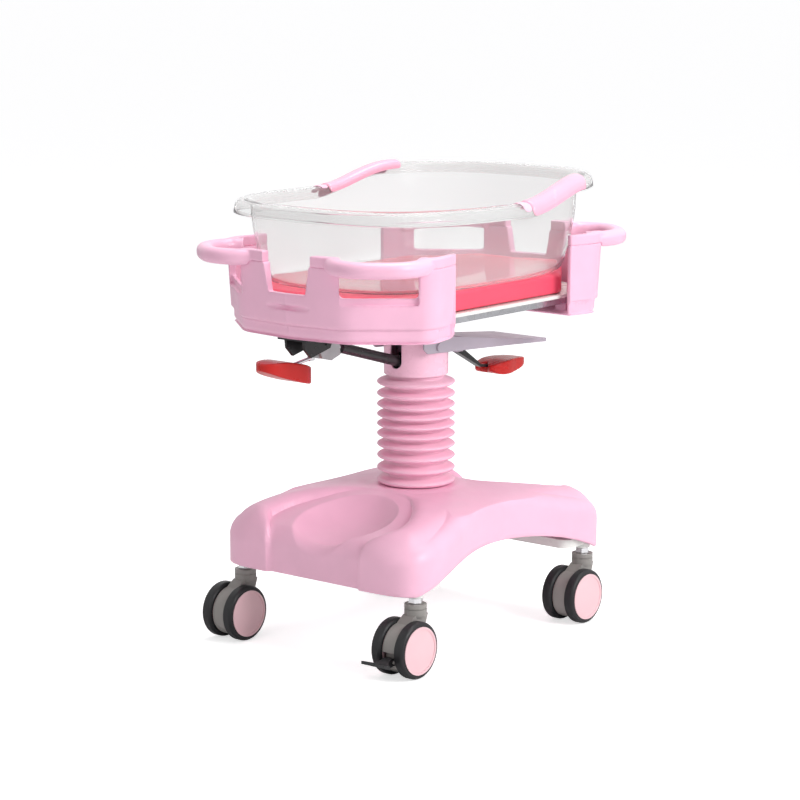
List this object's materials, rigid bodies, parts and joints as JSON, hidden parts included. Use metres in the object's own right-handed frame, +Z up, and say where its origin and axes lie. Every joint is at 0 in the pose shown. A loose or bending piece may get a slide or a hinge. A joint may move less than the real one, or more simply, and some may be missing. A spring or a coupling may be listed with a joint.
{
  "type": "hospital bassinet",
  "caption": "Wheeled hospital bassinet with a clear lift-off basin, coral pad, corner-handled end trays, lifting and tilting column with release paddles, and a moulded base on twin casters.",
  "frame": {"origin": "on the floor under the middle of the object's box, on the column's vertical line", "axes": "+Z up, +X across the width, +Y along the length toward the high head end of the basin"},
  "size_m": [0.512, 0.7532, 0.8315],
  "materials": {
    "white_steel": "white paint",
    "pink_shell": "satin moulded shell",
    "steel_tube": "brushed",
    "black_plastic": "matt",
    "pink_rubber": "soft matt",
    "pink_paint": "gloss paint",
    "black_paint": "gloss paint",
    "bright_rod": "polished",
    "grey_paint": "satin paint",
    "red_plastic": "gloss",
    "cast_metal": "cast",
    "white_sheet": "white paint",
    "coral_vinyl": "smooth wipe-clean vinyl",
    "clear_acrylic": "clear acrylic",
    "pink_grip": "gloss",
    "grey_plastic": "satin",
    "grey_tyre": "matt",
    "pale_plastic": "satin"
  },
  "bodies": {
    "base": {"base_chassis": "white_steel", "base_cover": "pink_shell", "outer_tube": "steel_tube", "guide_bush": "black_plastic", "lift_spring_cylinder": "black_paint", "bellows": "pink_rubber", "stem_fl": "bright_rod", "stem_fr": "bright_rod", "stem_hl": "bright_rod", "stem_hr": "bright_rod"},
    "column": {"column_core": "steel_tube", "column_sleeve": "pink_paint", "lift_spring_rod": "bright_rod", "lever_arm": "grey_paint"},
    "lift_release": {"lift_lever": "black_paint", "lift_paddle": "red_plastic"},
    "bed": {"bed_frame": "steel_tube", "foot_tray": "pink_shell", "head_tray": "pink_shell", "handle_fl": "pink_shell", "handle_fr": "pink_shell", "handle_hl": "pink_shell", "handle_hr": "pink_shell", "platform": "white_sheet", "pad": "coral_vinyl", "tilt_hanger": "black_paint"},
    "basin_unit": {"basin": "clear_acrylic", "rim_grip_left": "pink_grip", "rim_grip_right": "pink_grip"},
    "tilt_rod_unit": {"tilt_spring_rod": "bright_rod", "tilt_bracket": "cast_metal"},
    "tilt_cylinder_unit": {"tilt_spring_cylinder": "black_paint"},
    "tilt_release": {"tilt_lever": "bright_rod", "tilt_paddle": "red_plastic"},
    "caster_fl": {"housing_fl": "grey_plastic", "axle_fl": "bright_rod"},
    "wheel_fl_a": {"tyre_fl_a": "grey_tyre", "hub_fl_a": "pale_plastic"},
    "wheel_fl_b": {"tyre_fl_b": "grey_tyre", "hub_fl_b": "pale_plastic"},
    "caster_fr": {"housing_fr": "grey_plastic", "axle_fr": "bright_rod"},
    "wheel_fr_a": {"tyre_fr_a": "grey_tyre", "hub_fr_a": "pale_plastic"},
    "wheel_fr_b": {"tyre_fr_b": "grey_tyre", "hub_fr_b": "pale_plastic"},
    "caster_hl": {"housing_hl": "grey_plastic", "axle_hl": "bright_rod"},
    "wheel_hl_a": {"tyre_hl_a": "grey_tyre", "hub_hl_a": "pale_plastic"},
    "wheel_hl_b": {"tyre_hl_b": "grey_tyre", "hub_hl_b": "pale_plastic"},
    "caster_hr": {"housing_hr": "grey_plastic", "axle_hr": "bright_rod"},
    "wheel_hr_a": {"tyre_hr_a": "grey_tyre", "hub_hr_a": "pale_plastic"},
    "wheel_hr_b": {"tyre_hr_b": "grey_tyre", "hub_hr_b": "pale_plastic"},
    "pedal_fr": {"brake_pedal_fr": "black_plastic"},
    "pedal_hl": {"brake_pedal_hl": "black_plastic"}
  },
  "joints": [
    {"name": "column_lift", "type": "slide", "parent": "base", "child": "column", "axis": [0, 0, 1], "range_m": [-0.06, 0.14], "deforming": ["bellows"]},
    {"name": "bed_tilt", "type": "hinge", "parent": "column", "child": "bed", "pos_m": [0, 0, 0.582], "axis": [1, 0, 0], "range_deg": [-10, 10]},
    {"name": "tilt_spring_swing", "type": "hinge", "parent": "bed", "child": "tilt_rod_unit", "pos_m": [0, -0.271, 0.561], "axis": [1, 0, 0], "range_deg": [-2, 2]},
    {"name": "tilt_spring_stroke", "type": "slide", "parent": "tilt_rod_unit", "child": "tilt_cylinder_unit", "axis": [0, -0.9622, 0.2725], "range_m": [-0.018, 0.018]},
    {"name": "tilt_release_lever", "type": "hinge", "parent": "tilt_rod_unit", "child": "tilt_release", "pos_m": [-0.04, -0.24, 0.541], "axis": [-1, 0, 0], "range_deg": [0, 6], "stiffness_Nm_per_rad": 3, "springref_deg": -8.59},
    {"name": "lift_release_lever", "type": "hinge", "parent": "column", "child": "lift_release", "pos_m": [0, 0.112, 0.503], "axis": [1, 0, 0], "range_deg": [0, 7], "stiffness_Nm_per_rad": 3, "springref_deg": -11.46},
    {"name": "basin_lift_off", "type": "slide", "parent": "bed", "child": "basin_unit", "axis": [0, 0, 1], "range_m": [0, 0.2]},
    {"name": "caster_fl_swivel", "type": "hinge", "parent": "base", "child": "caster_fl", "pos_m": [-0.199, -0.244, 0.12], "axis": [0, 0, 1], "continuous": true},
    {"name": "wheel_fl_a_spin", "type": "hinge", "parent": "caster_fl", "child": "wheel_fl_a", "pos_m": [-0.199, -0.274, 0.05], "axis": [1, 0, 0], "continuous": true},
    {"name": "wheel_fl_b_spin", "type": "hinge", "parent": "caster_fl", "child": "wheel_fl_b", "pos_m": [-0.199, -0.274, 0.05], "axis": [1, 0, 0], "continuous": true},
    {"name": "caster_fr_swivel", "type": "hinge", "parent": "base", "child": "caster_fr", "pos_m": [0.199, -0.244, 0.12], "axis": [0, 0, 1], "continuous": true},
    {"name": "wheel_fr_a_spin", "type": "hinge", "parent": "caster_fr", "child": "wheel_fr_a", "pos_m": [0.199, -0.274, 0.05], "axis": [1, 0, 0], "continuous": true},
    {"name": "wheel_fr_b_spin", "type": "hinge", "parent": "caster_fr", "child": "wheel_fr_b", "pos_m": [0.199, -0.274, 0.05], "axis": [1, 0, 0], "continuous": true},
    {"name": "brake_fr_press", "type": "hinge", "parent": "caster_fr", "child": "pedal_fr", "pos_m": [0.199, -0.314, 0.034], "axis": [1, 0, 0], "range_deg": [0, 15]},
    {"name": "caster_hl_swivel", "type": "hinge", "parent": "base", "child": "caster_hl", "pos_m": [-0.199, 0.244, 0.12], "axis": [0, 0, 1], "continuous": true},
    {"name": "wheel_hl_a_spin", "type": "hinge", "parent": "caster_hl", "child": "wheel_hl_a", "pos_m": [-0.199, 0.214, 0.05], "axis": [1, 0, 0], "continuous": true},
    {"name": "wheel_hl_b_spin", "type": "hinge", "parent": "caster_hl", "child": "wheel_hl_b", "pos_m": [-0.199, 0.214, 0.05], "axis": [1, 0, 0], "continuous": true},
    {"name": "brake_hl_press", "type": "hinge", "parent": "caster_hl", "child": "pedal_hl", "pos_m": [-0.199, 0.174, 0.034], "axis": [1, 0, 0], "range_deg": [0, 15]},
    {"name": "caster_hr_swivel", "type": "hinge", "parent": "base", "child": "caster_hr", "pos_m": [0.199, 0.244, 0.12], "axis": [0, 0, 1], "continuous": true},
    {"name": "wheel_hr_a_spin", "type": "hinge", "parent": "caster_hr", "child": "wheel_hr_a", "pos_m": [0.199, 0.214, 0.05], "axis": [1, 0, 0], "continuous": true},
    {"name": "wheel_hr_b_spin", "type": "hinge", "parent": "caster_hr", "child": "wheel_hr_b", "pos_m": [0.199, 0.214, 0.05], "axis": [1, 0, 0], "continuous": true}
  ],
  "couplings": [
    {"joint": "tilt_spring_swing", "follows": "bed_tilt", "ratio": 0.088},
    {"joint": "tilt_spring_stroke", "follows": "bed_tilt", "m_per_rad": 0.0934}
  ]
}
